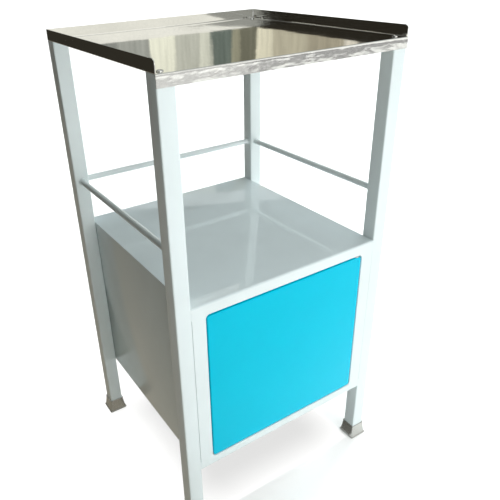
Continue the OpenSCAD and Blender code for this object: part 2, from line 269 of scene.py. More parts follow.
def zinc_plate():
    """Bright zinc plate on pressed steel: soft grey metal with a cloudy, slightly spangled sheen."""
    material, tree, shader, place = new_material("bright_zinc_plate")
    # The plate's cloudy spangles are about 4 mm across.
    cloud = add_node(tree, "ShaderNodeTexNoise", None, Vector=place, Scale=cells_per_metre(4.0), Detail=4.0)
    tree.links.new(tint(tree, colours().zinc, cloud.outputs["Fac"], 0.75), shader.inputs["Base Color"])
    rough = add_node(tree, "ShaderNodeMapRange", None, Value=cloud.outputs["Fac"], To_Min=0.22, To_Max=0.42)
    tree.links.new(rough.outputs["Result"], shader.inputs["Roughness"])
    bump = add_node(
        tree, "ShaderNodeBump", None, Height=cloud.outputs["Fac"], Strength=0.2, Distance=0.03 * MM
    )
    tree.links.new(bump.outputs["Normal"], shader.inputs["Normal"])
    shader.inputs["Metallic"].default_value = 1.0
    return material


def moulded(name, base, roughness, speck_mm, darker=0.85, metallic=0.0):
    """Injection-moulded plastic, or pressed ferrite: an even skin with a fine grain and faint
    flow marks that keep the highlight from being a clean one. Aluminium flake moulded into it
    makes it part mirror, which metallic gives."""
    material, tree, shader, place = new_material(name)
    # Flow marks from the mould are about 14 mm across.
    flow = add_node(tree, "ShaderNodeTexNoise", None, Vector=place, Scale=cells_per_metre(14), Detail=3.0)
    tree.links.new(tint(tree, base, flow.outputs["Fac"], darker), shader.inputs["Base Color"])
    rough = add_node(
        tree, "ShaderNodeMapRange", None,
        Value=flow.outputs["Fac"], To_Min=roughness * 0.8, To_Max=roughness * 1.25,
    )
    tree.links.new(rough.outputs["Result"], shader.inputs["Roughness"])
    grain = add_node(
        tree, "ShaderNodeTexNoise", None, Vector=place, Scale=cells_per_metre(speck_mm), Detail=2.0
    )
    bump = add_node(
        tree, "ShaderNodeBump", None, Height=grain.outputs["Fac"], Strength=0.25, Distance=0.03 * MM
    )
    tree.links.new(bump.outputs["Normal"], shader.inputs["Normal"])
    shader.inputs["IOR"].default_value = 1.5
    shader.inputs["Metallic"].default_value = metallic
    return material


def studio_vinyl():
    """Seamless vinyl studio floor: pale and matt, with hardly any tone of its own."""
    material, tree, shader, place = new_material("studio_vinyl")
    cloud = add_node(tree, "ShaderNodeTexNoise", None, Vector=place, Scale=cells_per_metre(900), Detail=2.0)
    tree.links.new(tint(tree, colours().floor, cloud.outputs["Fac"], 0.985), shader.inputs["Base Color"])
    shader.inputs["Roughness"].default_value = 0.9
    shader.inputs["Specular IOR Level"].default_value = 0.1
    return material


def finish_for(slot):
    """The material of a record slot, made once."""
    c = colours()
    known_material = bpy.data.materials.get

    def nylon():
        """The catch housing and the bushes are the same plastic."""
        return moulded("moulded_nylon", c.nylon, roughness=0.45, speck_mm=0.8)

    makers = {
        "white_powder_coat": lambda: powder_coat(
            "white_epoxy_powder_coat", c.frame_white, roughness=0.2, grime=0.25
        ),
        "panel_powder_coat": lambda: powder_coat(
            "grey_white_epoxy_powder_coat", c.panel_grey, roughness=0.03, grime=0.3, gloss=0.8
        ),
        "cyan_powder_coat": lambda: powder_coat(
            "cyan_epoxy_powder_coat", c.door_cyan, roughness=0.1, grime=0.15, gloss=0.08
        ),
        "stainless": polished_stainless,
        "stainless_screws": lambda: known_material("polished_304_stainless") or polished_stainless(),
        "shoe_grey": lambda: moulded(
            "moulded_pvc_shoe", c.shoe_grey, roughness=0.22, speck_mm=1.2, darker=0.8, metallic=0.75
        ),
        "zinc_steel": zinc_plate,
        "catch_plastic": nylon,
        "bush_nylon": lambda: known_material("moulded_nylon") or nylon(),
        "magnet_black": lambda: moulded(
            "sintered_ferrite", c.ferrite, roughness=0.7, speck_mm=0.4, darker=0.7
        ),
    }
    key = "finish_" + slot
    known = bpy.context.scene.get(key)
    if known is None:
        known = makers[slot]().name
        bpy.context.scene[key] = known
    return bpy.data.materials[known]


# ---------------------------------------------------------------- mesh helpers


def slot_of(node):
    """The record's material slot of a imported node."""
    return next(s["material_slot"] for s in frame["record"]["subparts"] if s["node"] == node)


def add_piece(name, bm, body, *nodes, slot=None, sharp_deg=32.0):
    """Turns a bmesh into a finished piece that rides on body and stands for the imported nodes."""
    bmesh.ops.remove_doubles(bm, verts=bm.verts, dist=1e-6)
    bmesh.ops.recalc_face_normals(bm, faces=bm.faces)
    mesh = bpy.data.meshes.new(name)
    bm.to_mesh(mesh)
    bm.free()
    piece = bpy.data.objects.new(name, mesh)
    bpy.context.scene.collection.objects.link(piece)
    return dress_piece(piece, body, *nodes, slot=slot, sharp_deg=sharp_deg)


def dress_piece(piece, body, *nodes, slot=None, sharp_deg=32.0):
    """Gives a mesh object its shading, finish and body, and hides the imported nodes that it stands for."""
    mesh = piece.data
    mesh.polygons.foreach_set("use_smooth", [True] * len(mesh.polygons))
    mesh.set_sharp_from_angle(angle=math.radians(sharp_deg))
    slot = slot or slot_of(nodes[0])
    mesh.materials.clear()
    mesh.materials.append(finish_for(slot))
    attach(piece, body)
    if nodes:
        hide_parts(*nodes)
    return piece


def bevel_all(bm, width, segments=2, min_angle_deg=30.0):
    """Rounds every edge sharper than min_angle_deg."""
    limit = math.radians(min_angle_deg)
    edges = [e for e in bm.edges if len(e.link_faces) == 2 and e.calc_face_angle(0.0) > limit]
    bmesh.ops.bevel(
        bm, geom=edges, offset=width, segments=segments, profile=0.5, affect="EDGES", clamp_overlap=True
    )


def add_block(bm, low, high):
    """Adds a closed box and returns its vertices."""
    low, high = Vector(low), Vector(high)
    middle = (low + high) / 2
    place = Matrix.Translation(middle) @ Matrix.Diagonal(tuple(high - low) + (1.0,))
    return bmesh.ops.create_cube(bm, size=1.0, matrix=place)["verts"]


def arc(centre, radius, start_deg, end_deg, steps):
    """Points of a flat arc, both ends included."""
    turn = [math.radians(start_deg + (end_deg - start_deg) * i / steps) for i in range(steps + 1)]
    return [(centre[0] + radius * math.cos(a), centre[1] + radius * math.sin(a)) for a in turn]


def quarter_turn(steps):
    """Angles from 0 to 90 degrees, in radians."""
    return [math.radians(90 * i / steps) for i in range(steps + 1)]


def round_outline(half_w, half_h, radius, steps=6):
    """A rectangle with round corners, counter-clockwise, centred on the origin."""
    points = []
    for quarter, (sx, sy) in enumerate(((1, 1), (-1, 1), (-1, -1), (1, -1))):
        centre = (sx * (half_w - radius), sy * (half_h - radius))
        points += arc(centre, radius, 90 * quarter, 90 * quarter + 90, steps)
    return points


def loft(bm, rings, closed=True, caps=False):
    """Joins rings of points, each a list of 3-D places, into a skin."""
    made = [[bm.verts.new(p) for p in ring] for ring in rings]
    count = len(made[0])
    for low, high in zip(made, made[1:]):
        for i in range(count if closed else count - 1):
            j = (i + 1) % count
            bm.faces.new((low[i], low[j], high[j], high[i]))
    if caps:
        bm.faces.new(list(reversed(made[0])))
        bm.faces.new(made[-1])
    return made


def extrude_outline(bm, outline, to_3d, start, end, steps=1):
    """Sweeps a closed flat outline straight from start to end; to_3d places a point."""
    rings = []
    for i in range(steps + 1):
        along = start + (end - start) * i / steps
        rings.append([to_3d(u, v, along) for u, v in outline])
    loft(bm, rings, closed=True, caps=True)


def lathe(bm, profile, count):
    """Turns a profile of (radius, height) points about the Z axis."""
    rings = []
    for i in range(count):
        a = 2 * math.pi * i / count
        rings.append([(r * math.cos(a), r * math.sin(a), z) for r, z in profile])
    rings.append(rings[0])
    loft(bm, rings, closed=False)
    bmesh.ops.remove_doubles(bm, verts=bm.verts, dist=1e-6)


def corner_spots(low, high, inset, height):
    """The four corners of a rectangle in plan, moved in by inset, as places with no turn."""
    return [
        ((x, y, height), (0.0, 0.0, 0.0))
        for x in (low.x + inset, high.x - inset)
        for y in (low.y + inset, high.y - inset)
    ]


def wobble(point, size_mm, seed):
    """A smooth value from about -1 to 1 that changes over size_mm, the same on every run."""
    return noise.noise(Vector(point) * cells_per_metre(size_mm) + Vector((seed, 3.1 * seed, 1.7)))


# ---------------------------------------------------------------- geometry nodes


def new_tree(name, inputs):
    """A geometry node tree with named inputs, (name, socket type, default) each."""
    tree = bpy.data.node_groups.new(name, "GeometryNodeTree")
    tree.interface.new_socket("Geometry", in_out="INPUT", socket_type="NodeSocketGeometry")
    for label, kind, default in inputs:
        socket = tree.interface.new_socket(label, in_out="INPUT", socket_type=kind)
        if default is not None:
            socket.default_value = default
    tree.interface.new_socket("Geometry", in_out="OUTPUT", socket_type="NodeSocketGeometry")
    return tree, add_node(tree, "NodeGroupInput"), add_node(tree, "NodeGroupOutput")


def scatter_tree():
    """Puts one shape at every point of the incoming mesh, turned by the point's own angles."""
    tree, given, result = new_tree(
        "place_fasteners",
        [
            ("Shape", "NodeSocketObject", None),
            ("Finish", "NodeSocketMaterial", None),
            ("Scale", "NodeSocketFloat", 1.0),
            ("Turn Spread", "NodeSocketFloat", 3.14),
            ("Seed", "NodeSocketInt", 7),
        ],
    )
    shape = add_node(tree, "GeometryNodeObjectInfo", None, Object=given.outputs["Shape"])
    angles = add_node(
        tree, "GeometryNodeInputNamedAttribute", {"data_type": "FLOAT_VECTOR"}, Name="angles"
    )
    spread = add_node(
        tree, "FunctionNodeRandomValue", {"data_type": "FLOAT"},
        i2=0.0, i3=given.outputs["Turn Spread"], Seed=given.outputs["Seed"],
    )
    twist = add_node(tree, "ShaderNodeCombineXYZ", None, Z=spread.outputs[1])
    aim = add_node(tree, "FunctionNodeEulerToRotation", None, Euler=angles.outputs["Attribute"])
    spin = add_node(tree, "FunctionNodeEulerToRotation", None, Euler=twist.outputs["Vector"])
    turn = add_node(
        tree, "FunctionNodeRotateRotation", {"rotation_space": "LOCAL"},
        Rotation=aim.outputs["Rotation"], Rotate_By=spin.outputs["Rotation"],
    )
    placed = add_node(
        tree, "GeometryNodeInstanceOnPoints", None,
        Points=given.outputs["Geometry"], Instance=shape.outputs["Geometry"],
        Rotation=turn.outputs["Rotation"], Scale=given.outputs["Scale"],
    )
    real = add_node(tree, "GeometryNodeRealizeInstances", None, Geometry=placed.outputs["Instances"])
    painted = add_node(
        tree, "GeometryNodeSetMaterial", None,
        Geometry=real.outputs["Geometry"], Material=given.outputs["Finish"],
    )
    tree.links.new(painted.outputs["Geometry"], result.inputs["Geometry"])
    return tree


def run_tree(carrier, tree, values):
    """Runs a tree on carrier, with its named inputs set, and returns the result as a plain mesh."""
    modifier = carrier.modifiers.new(tree.name, "NODES")
    modifier.node_group = tree
    for socket in tree.interface.items_tree:
        if socket.in_out == "INPUT" and socket.name in values:
            modifier[socket.identifier] = values[socket.name]
    bpy.context.view_layer.update()
    evaluated = carrier.evaluated_get(bpy.context.evaluated_depsgraph_get())
    mesh = bpy.data.meshes.new_from_object(evaluated, depsgraph=bpy.context.evaluated_depsgraph_get())
    carrier.modifiers.remove(modifier)
    return mesh


def place_fasteners(name, shape_bm, places, body, *nodes, spread=3.14, slot=None):
    """Copies one shape to each place, a (point, angles) pair, and makes the result one piece."""
    shape_mesh = bpy.data.meshes.new(name + "_shape")
    bmesh.ops.recalc_face_normals(shape_bm, faces=shape_bm.faces)
    shape_bm.to_mesh(shape_mesh)
    shape_bm.free()
    shape = bpy.data.objects.new(name + "_shape", shape_mesh)
    bpy.context.scene.collection.objects.link(shape)
    points = bpy.data.meshes.new(name + "_points")
    points.from_pydata([tuple(p) for p, _ in places], [], [])
    turned = points.attributes.new("angles", "FLOAT_VECTOR", "POINT")
    for i, (_, angles) in enumerate(places):
        turned.data[i].vector = angles
    carrier = bpy.data.objects.new(name, points)
    bpy.context.scene.collection.objects.link(carrier)
    tree = bpy.data.node_groups.get("place_fasteners") or scatter_tree()
    slot = slot or slot_of(nodes[0])
    mesh = run_tree(
        carrier, tree,
        {"Shape": shape, "Finish": finish_for(slot), "Scale": 1.0, "Turn Spread": spread, "Seed": 7},
    )
    carrier.data = mesh
    mesh.name = name
    bpy.data.objects.remove(shape)
    return dress_piece(carrier, body, *nodes, slot=slot)


# ---------------------------------------------------------------- tray


def tray_point(s, t, geo):
    """Place on the tray's underside skin, from developed distances s across and t towards the back,
    each measured from the middle of the part's frame."""
    fold = geo["fold"]

    def folded(distance, flat):
        """Where a developed distance ends up: how far out, and how far up round the fold."""
        past = abs(distance) - flat
        if past <= 0:
            return distance, 0.0
        arc_length = fold * math.pi / 2
        side = math.copysign(1.0, distance)
        if past < arc_length:
            angle = past / fold
            return side * (flat + fold * math.sin(angle)), fold * (1 - math.cos(angle))
        return side * (flat + fold), fold + past - arc_length

    x, rise_x = folded(s, geo["flat_x"])
    y, rise_y = folded(t, geo["flat_front"] if t < 0 else geo["flat_back"])
    return Vector((x, y, geo["z"] + rise_x + rise_y))


class CABINET_OT_tray(bpy.types.Operator):
    """Stainless tray, one folded sheet with three rims and a front lip"""

    bl_idname = "cabinet.tray"
    bl_label = "Tray"

    # Faces along the half-width of the floor, a fold's bend, a rim and the floor's front half.
    FLOOR_STEPS = 14
    FOLD_STEPS = 5
    RIM_STEPS = 8
    FRONT_STEPS = 12
    LIP_SECTIONS = 140

    def execute(self, context):
        low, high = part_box("top_tray")
        size = sizes()
        sheet = size.sheet
        z_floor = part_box("leg_front_left")[1].z + sheet
        fold = size.tray_fold
        under = z_floor - sheet
        rim = high.z - under
        lip = z_floor - low.z
        geo = {
            "fold": fold,
            "flat_x": (high.x - low.x) / 2 - fold,
            "flat_front": -low.y - fold,
            "flat_back": high.y - fold,
            "z": under,
        }
        # The rims rise from the underside skin; the lip is folded the other way, so its outer skin
        # is the top one: the front strip is built on its own from the floor's top.
        arc_length = fold * math.pi / 2
        across = self.stations(geo["flat_x"], rim - fold, arc_length)
        back = [t for t in self.stations(geo["flat_back"], rim - fold, arc_length) if t > 0]
        front = [-geo["flat_front"] * i / self.FRONT_STEPS for i in range(self.FRONT_STEPS, -1, -1)]
        along = front + back
        bm = bmesh.new()
        verts = {}
        flat_x, flat_back = geo["flat_x"], geo["flat_back"]
        for i, s in enumerate(across):
            for j, t in enumerate(along):
                verts[i, j] = self.place(s, t, geo, size, high.z)
        made = {}
        for i in range(len(across) - 1):
            for j in range(len(along) - 1):
                out_x = max(abs(across[i]), abs(across[i + 1])) > flat_x + 1e-7
                out_y = max(along[j], along[j + 1]) > flat_back + 1e-7
                if out_x and out_y:
                    continue
                corners = [(i, j), (i + 1, j), (i + 1, j + 1), (i, j + 1)]
                bm.faces.new([self.vert(bm, made, verts, c) for c in corners])
        bmesh.ops.remove_doubles(bm, verts=bm.verts, dist=1e-7)
        self.thicken(bm, sheet)
        self.front_lip(bm, geo, z_floor, lip, size)
        add_piece("polished_tray", bm, CABINET, "top_tray", sharp_deg=40)
        return {"FINISHED"}

    @classmethod
    def stations(cls, flat, straight, arc_length):
        """Developed distances across a sheet: rim, fold, floor, fold, rim."""
        half = [flat * i / cls.FLOOR_STEPS for i in range(cls.FLOOR_STEPS + 1)]
        half += [flat + arc_length * i / cls.FOLD_STEPS for i in range(1, cls.FOLD_STEPS + 1)]
        half += [flat + arc_length + straight * i / cls.RIM_STEPS for i in range(1, cls.RIM_STEPS + 1)]
        return [-d for d in reversed(half[1:])] + half

    @staticmethod
    def vert(bm, made, places, key):
        """The vertex at a station, made the first time that it is asked for."""
        if key not in made:
            made[key] = bm.verts.new(places[key])
        return made[key]

    @staticmethod
    def place(s, t, geo, size, top):
        """A point of the skin, with the rims' round front corners and their hand-folded waver."""
        reach = 40 * MM
        waver_mm = 60
        p = tray_point(s, t, geo)
        above = p.z - geo["z"]
        on_side = abs(s) > geo["flat_x"] + geo["fold"]
        corner = size.rim_corner
        left_to_top = top - p.z
        if on_side and left_to_top < corner:
            bite = corner - math.sqrt(max(corner**2 - (corner - left_to_top) ** 2, 0.0))
            from_front = p.y + geo["flat_front"]
            if from_front < reach:
                p.y += bite * (1 - from_front / reach)
        if t > geo["flat_back"] - 1e-6:
            p.y -= size.rim_lean * above / (top - geo["z"])
        if above > geo["fold"]:
            give = min((above - geo["fold"]) / (top - geo["z"]), 1.0)
            inward = size.tray_dents * give * (0.5 + 0.5 * wobble(p, waver_mm, 2.0))
            if on_side:
                p.x -= math.copysign(inward, s)
            else:
                p.y -= inward
        return p

    @staticmethod
    def thicken(bm, sheet):
        """Gives the skin its thickness, towards the tray's inside."""
        bmesh.ops.recalc_face_normals(bm, faces=bm.faces)
        bm.faces.ensure_lookup_table()
        floor = max(bm.faces, key=lambda f: f.calc_area())
        if floor.normal.z > 0:
            bmesh.ops.reverse_faces(bm, faces=bm.faces)
        bmesh.ops.solidify(bm, geom=list(bm.faces), thickness=sheet)

    @classmethod
    def front_lip(cls, bm, geo, z_floor, lip, size):
        """The lip turned down in front, swept across the tray with its dents: short ones in the
        middle of its height, and long ones that push its bottom edge in."""
        short_mm, long_mm = 30, 70
        tightest_bend = 0.3 * MM
        bend_steps = 6
        rows = 5
        fold, sheet = geo["fold"], size.sheet
        front_y = -geo["flat_front"] - fold
        flat_y = front_y + fold
        straight = lip - fold
        inner = max(fold - sheet, tightest_bend)
        outer_arc = arc((flat_y, z_floor - fold), fold, 90, 180, bend_steps)
        inner_arc = arc((flat_y, z_floor - fold), inner, 180, 90, bend_steps)
        bottom = z_floor - lip
        down = [(front_y, z_floor - fold - straight * i / rows) for i in range(1, rows + 1)]
        up = [(front_y + sheet, bottom + straight * i / rows) for i in range(rows)]
        outline = outer_arc + down + up + inner_arc
        half = geo["flat_x"] + fold
        rings = []
        for i in range(cls.LIP_SECTIONS + 1):
            x = -half + 2 * half * i / cls.LIP_SECTIONS
            ring = []
            for y, height in outline:
                hang = min(max((z_floor - fold - height) / straight, 0.0), 1.0)
                belly = 4.0 * hang * (1.0 - hang)
                dent = size.lip_dents * belly * (0.5 + 0.5 * wobble((x, 0, height), short_mm, 5.0))
                dent += size.lip_dents * 0.5 * hang * max(wobble((x, 0, 0), long_mm, 9.0), 0.0)
                ring.append((x, y + dent, height))
            rings.append(ring)
        loft(bm, rings, closed=True, caps=True)


class CABINET_OT_tray_screws(bpy.types.Operator):
    """Pan-head cross-recess screws, one over each leg"""

    bl_idname = "cabinet.tray_screws"
    bl_label = "Tray screws"

    def execute(self, context):
        low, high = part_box("tray_screws")
        head = 4.4 * MM
        rise = 1.9 * MM
        packed_rise = 2.0 * MM
        # The head's edge stands upright for this part of its height, and the dome is the rest.
        upright_part = 0.35
        dome = arc((0, 0), 1.0, 90, 0, 7)
        profile = [(0.0, rise)]
        profile += [(head * u, rise * (upright_part + (1 - upright_part) * v)) for u, v in dome[1:]]
        profile += [(head, 0.0), (0.0, 0.0)]
        bm = bmesh.new()
        lathe(bm, profile, 28)
        self.cut_cross(bm, rise)
        spots = corner_spots(low, high, head, high.z - packed_rise)
        place_fasteners("tray_pan_screws", bm, spots, CABINET, "tray_screws")
        return {"FINISHED"}

    @staticmethod
    def cut_cross(bm, rise):
        """Sinks the top near the middle into a four-point recess."""
        reach = 2.2 * MM
        middle = 0.1 * MM
        depth = 1.1 * MM
        for v in bm.verts:
            radius = math.hypot(v.co.x, v.co.y)
            if v.co.z > rise * 0.6 and radius < reach:
                a = math.atan2(v.co.y, v.co.x)
                arm = abs(math.cos(2 * a)) ** 3
                if radius < middle or arm > 0.5:
                    v.co.z -= depth


# ---------------------------------------------------------------- tubes and rods


class CABINET_OT_legs(bpy.types.Operator):
    """Four square-tube legs, open inside"""

    bl_idname = "cabinet.legs"
    bl_label = "Legs"

    def execute(self, context):
        size = sizes()
        for node in [n for n in frame["nodes"] if n.startswith("leg_") and n != "leg_caps"]:
            low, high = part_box(node)
            centre = (low + high) / 2
            half = (high.x - low.x) / 2
            outer = round_outline(half, half, size.tube_radius)
            inside = half - size.tube_wall
            bore = round_outline(inside, inside, size.tube_radius - size.tube_wall)
            rings = []
            for outline, heights in ((outer, (low.z, high.z)), (bore, (high.z, low.z))):
                rings += [[(centre.x + u, centre.y + v, h) for u, v in outline] for h in heights]
            rings.append(rings[0])
            bm = bmesh.new()
            loft(bm, rings, closed=True)
            add_piece(node.replace("leg_", "tube_leg_"), bm, CABINET, node)
        return {"FINISHED"}


class CABINET_OT_rods(bpy.types.Operator):
    """Three guard rods, with weld fillets that sag below them"""

    bl_idname = "cabinet.rods"
    bl_label = "Guard rods"

    def execute(self, context):
        for node in ("rod_left", "rod_right", "rod_back"):
            self.rod(node)
        return {"FINISHED"}

    def rod(self, node):
        """A round rod whose ends flare into weld fillets, fuller below than above."""
        bead_mm, bead_depth = 600, 0.06
        low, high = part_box(node)
        extent = high - low
        axis = 0 if extent.x > extent.y else 1
        span = extent[axis]
        radius = sizes().rod_radius
        weld = min(extent) / 2 - radius
        count = 32
        turn = quarter_turn(6)
        fillet = [(1 - math.cos(a), 1 - math.sin(a)) for a in turn]
        stations = [(weld * d, rise, 1) for d, rise in fillet]
        stations += [(span - weld * d, rise, -1) for d, rise in reversed(fillet)]
        centre = (low + high) / 2
        rings = []
        for along, rise, end in stations:
            ring = []
            for i in range(count):
                angle = 2 * math.pi * i / count
                below = 0.5 - 0.5 * math.sin(angle)
                sag = 0.45 + 0.55 * below
                spot = (math.cos(angle), math.sin(angle), 40 * centre[axis])
                bead = bead_depth * wobble(spot, bead_mm, 4.0 + end)
                reach = radius + weld * rise * (sag - abs(bead))
                ring.append(self.place(centre, low, axis, along, reach, angle))
            rings.append(ring)
        bm = bmesh.new()
        loft(bm, rings, closed=True, caps=True)
        add_piece(node.replace("rod_", "guard_rod_"), bm, CABINET, node)

    @staticmethod
    def place(centre, low, axis, along, radius, angle):
        """A point of the rod's skin; the angle is measured from the horizontal, up being 90."""
        side, rise = radius * math.cos(angle), radius * math.sin(angle)
        if axis == 0:
            return (low.x + along, centre.y + side, centre.z + rise)
        return (centre.x + side, low.y + along, centre.z + rise)


class CABINET_OT_leg_caps(bpy.types.Operator):
    """Tapped plates welded into the tops of the legs"""

    bl_idname = "cabinet.leg_caps"
    bl_label = "Leg caps"

    def execute(self, context):
        size = sizes()
        low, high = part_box("leg_caps")
        leg_low, leg_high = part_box("leg_front_left")
        half = (leg_high.x - leg_low.x) / 2 - size.tube_wall
        thick = high.z - low.z
        hole_radius = 2.5 * MM
        outer = round_outline(half, half, size.tube_radius - size.tube_wall, 4)
        angles = [math.atan2(v, u) for u, v in outer]
        hole = [(hole_radius * math.cos(a), hole_radius * math.sin(a)) for a in angles]
        rings = []
        for outline, heights in ((outer, (0.0, thick)), (hole, (thick, 0.0))):
            rings += [[(u, v, h) for u, v in outline] for h in heights]
        rings.append(rings[0])
        bm = bmesh.new()
        loft(bm, rings, closed=True)
        bmesh.ops.remove_doubles(bm, verts=bm.verts, dist=1e-7)
        spots = corner_spots(low, high, half, low.z)
        place_fasteners("leg_cap_plates", bm, spots, CABINET, "leg_caps", spread=0.0)
        return {"FINISHED"}


# ---------------------------------------------------------------- cupboard


def bent_sheet_outline(low, high, fold, sheet, up):
    """Side outline of a sheet bent along its front edge, in Y and Z; up is 1 for a deck whose
    edge turns down and -1 for a base whose edge turns up."""
    top = high.z if up > 0 else low.z
    inner = fold - sheet
    hub = (low.y + fold, top - up * fold)
    outer_arc = [(y, hub[1] + up * (zz - hub[1])) for y, zz in arc(hub, fold, 90, 180, 8)]
    inner_arc = [(y, hub[1] + up * (zz - hub[1])) for y, zz in arc(hub, inner, 180, 90, 8)]
    return [(high.y, top)] + outer_arc + inner_arc + [(high.y, top - up * sheet)]


class CABINET_OT_cupboard(bpy.types.Operator):
    """Deck, base, sides and back of the cupboard"""

    bl_idname = "cabinet.cupboard"
    bl_label = "Cupboard panels"

    def execute(self, context):
        size = sizes()
        sheared_edge = 0.25 * MM
        for node, up in (("deck_panel", 1), ("base_panel", -1)):
            low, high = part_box(node)
            outline = bent_sheet_outline(low, high, size.deck_fold, size.sheet, up)
            bm = bmesh.new()
            extrude_outline(bm, outline, lambda y, zz, x: (x, y, zz), low.x, high.x, steps=2)
            add_piece(node.replace("_panel", "_sheet"), bm, CABINET, node)
        for node in ("side_panel_left", "side_panel_right", "back_panel"):
            low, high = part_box(node)
            along = Vector((1, 0, 0)) if high.x - low.x > high.y - low.y else Vector((0, 1, 0))
            bm = bmesh.new()
            add_block(bm, low + along * size.panel_gap, high - along * size.panel_gap)
            bevel_all(bm, sheared_edge, 2)
            add_piece(node.replace("_panel", "_sheet"), bm, CABINET, node)
        self.tack_welds(size)
        return {"FINISHED"}

    @staticmethod
    def tack_welds(size):
        """One bead half-way up each side sheet's edge, in its corner with the leg."""
        bead = size.tack_bead
        low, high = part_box("side_panel_left")
        far_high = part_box("side_panel_right")[1]
        profile = [(bead * u, 0.8 * bead * v) for u, v in arc((0, 0), 1.0, 90, -90, 8)]
        bm = bmesh.new()
        lathe(bm, profile, 14)
        spots = corner_spots(low, far_high, 0.0, (low.z + high.z) / 2)
        place_fasteners("tack_weld_beads", bm, spots, CABINET, slot="white_powder_coat")


class CABINET_OT_front_frame(bpy.types.Operator):
    """Front frame with its turned-in lips and the dressed welds to the legs"""

    bl_idname = "cabinet.front_frame"
    bl_label = "Front frame"

    def execute(self, context):
        size = sizes()
        low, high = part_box("front_frame")
        door_low, door_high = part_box("door_pan")
        open_low = door_low - Vector((size.door_gap, 0, size.door_gap))
        open_high = door_high + Vector((size.door_gap, 0, size.door_top_gap))
        centre = (open_low + open_high) / 2
        half_w = (open_high.x - open_low.x) / 2
        half_h = (open_high.z - open_low.z) / 2
        corner = size.door_corner + size.door_gap
        bend = size.frame_edge
        tightest_bend = 0.2 * MM

        def ring(grow, y):
            outline = round_outline(half_w + grow, half_h + grow, corner + grow, 8)
            return [(centre.x + u, y, centre.z + v) for u, v in outline]

        turn = quarter_turn(5)
        outer_bend = [ring(bend * (1 - math.sin(a)), low.y + bend * (1 - math.cos(a))) for a in turn]
        inner = max(bend - size.sheet, tightest_bend)
        inner_bend = [
            ring(size.sheet + inner * (1 - math.sin(a)), low.y + size.sheet + inner * (1 - math.cos(a)))
            for a in reversed(turn)
        ]
        front = self.plate_edge(low, high, outer_bend[0], low.y)
        back = self.plate_edge(low, high, outer_bend[0], low.y + size.sheet)
        lip = [ring(0.0, high.y), ring(size.sheet, high.y)]
        rings = [front] + outer_bend + lip + inner_bend + [back, front]
        bm = bmesh.new()
        loft(bm, rings, closed=True)
        self.dressed_welds(bm, low, high, open_low, open_high)
        add_piece("front_frame_sheet", bm, CABINET, "front_frame", sharp_deg=28)
        return {"FINISHED"}

    @staticmethod
    def plate_edge(low, high, ring, y):
        """The plate's outer rectangle, one point for each point of the opening's ring: straight out
        from the ring's round corners, so the faces between the two stay flat and regular."""
        per_corner = len(ring) // 4
        points = []
        plate_corners = ((high.x, high.z), (low.x, high.z), (low.x, low.z), (high.x, low.z))
        for quarter, (x, z) in enumerate(plate_corners):
            corner = ring[quarter * per_corner : (quarter + 1) * per_corner]
            middle = per_corner // 2
            for k, (u, _, v) in enumerate(corner):
                vertical_side = (k < middle) == (quarter % 2 == 0)
                if k == middle:
                    points.append((x, y, z))
                elif vertical_side:
                    points.append((x, y, v))
                else:
                    points.append((u, y, z))
        return points

    @staticmethod
    def dressed_welds(bm, low, high, open_low, open_high):
        """Weld metal, ground flush, that fills the groove between the rails and the legs."""
        fill = 2.0 * MM
        over = 1.0 * MM
        bite = 0.2 * MM
        dressed_edge = 0.3 * MM
        for side in (-1, 1):
            near, far = sorted((side * (high.x - bite), side * (high.x + fill)))
            for z0, z1 in ((open_high.z - over, high.z + fill), (low.z - fill, open_low.z + over)):
                verts = add_block(bm, (near, low.y, z0), (far, low.y + fill, z1))
                edges = list(dict.fromkeys(e for v in verts for e in v.link_edges))
                bmesh.ops.bevel(bm, geom=edges, offset=dressed_edge, segments=2, affect="EDGES")


# ---------------------------------------------------------------- door


class CABINET_OT_door(bpy.types.Operator):
    """Door pan with a bent edge, and its inner liner"""

    bl_idname = "cabinet.door"
    bl_label = "Door"

    def execute(self, context):
        size = sizes()
        low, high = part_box("door_pan")
        centre = (low + high) / 2
        half_w = (high.x - low.x) / 2
        half_h = (high.z - low.z) / 2
        bend = size.door_edge
        tightest_corner = 0.4 * MM

        def ring(shrink, y):
            corner = max(size.door_corner - shrink, tightest_corner)
            outline = round_outline(half_w - shrink, half_h - shrink, corner, 8)
            return [(centre.x + u, y, centre.z + v) for u, v in outline]

        turn = quarter_turn(5)
        rings = [ring(bend * (1 - math.sin(a)), low.y + bend * (1 - math.cos(a))) for a in turn]
        rings += [ring(0.0, high.y), ring(size.sheet, high.y), ring(size.sheet, low.y + size.sheet)]
        bm = bmesh.new()
        loft(bm, rings, closed=True, caps=True)
        add_piece("door_skin", bm, DOOR, "door_pan", sharp_deg=28)
        self.liner(size)
        return {"FINISHED"}

    @staticmethod
    def liner(size):
        """The inner sheet, with a shallow field pressed into it inside a flat border."""
        low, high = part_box("door_liner")
        centre = (low + high) / 2
        half_w = (high.x - low.x) / 2
        half_h = (high.z - low.z) / 2
        corner = size.door_corner - size.sheet
        edge = 0.3 * MM
        border = 14 * MM
        slope = 1.2 * MM
        sink = 0.5 * MM
        edge_corner, field_corner = 1 * MM, 6 * MM
        rings = []
        for shrink, y, tightest in (
            (0.0, low.y, edge_corner),
            (0.0, high.y - edge, edge_corner),
            (edge, high.y, edge_corner),
            (border, high.y, field_corner),
            (border + slope, high.y - sink, field_corner),
        ):
            outline = round_outline(half_w - shrink, half_h - shrink, max(corner - shrink, tightest), 8)
            rings.append([(centre.x + u, y, centre.z + v) for u, v in outline])
        bm = bmesh.new()
        loft(bm, rings, closed=True, caps=True)
        add_piece("door_inner_sheet", bm, DOOR, "door_liner", sharp_deg=28)


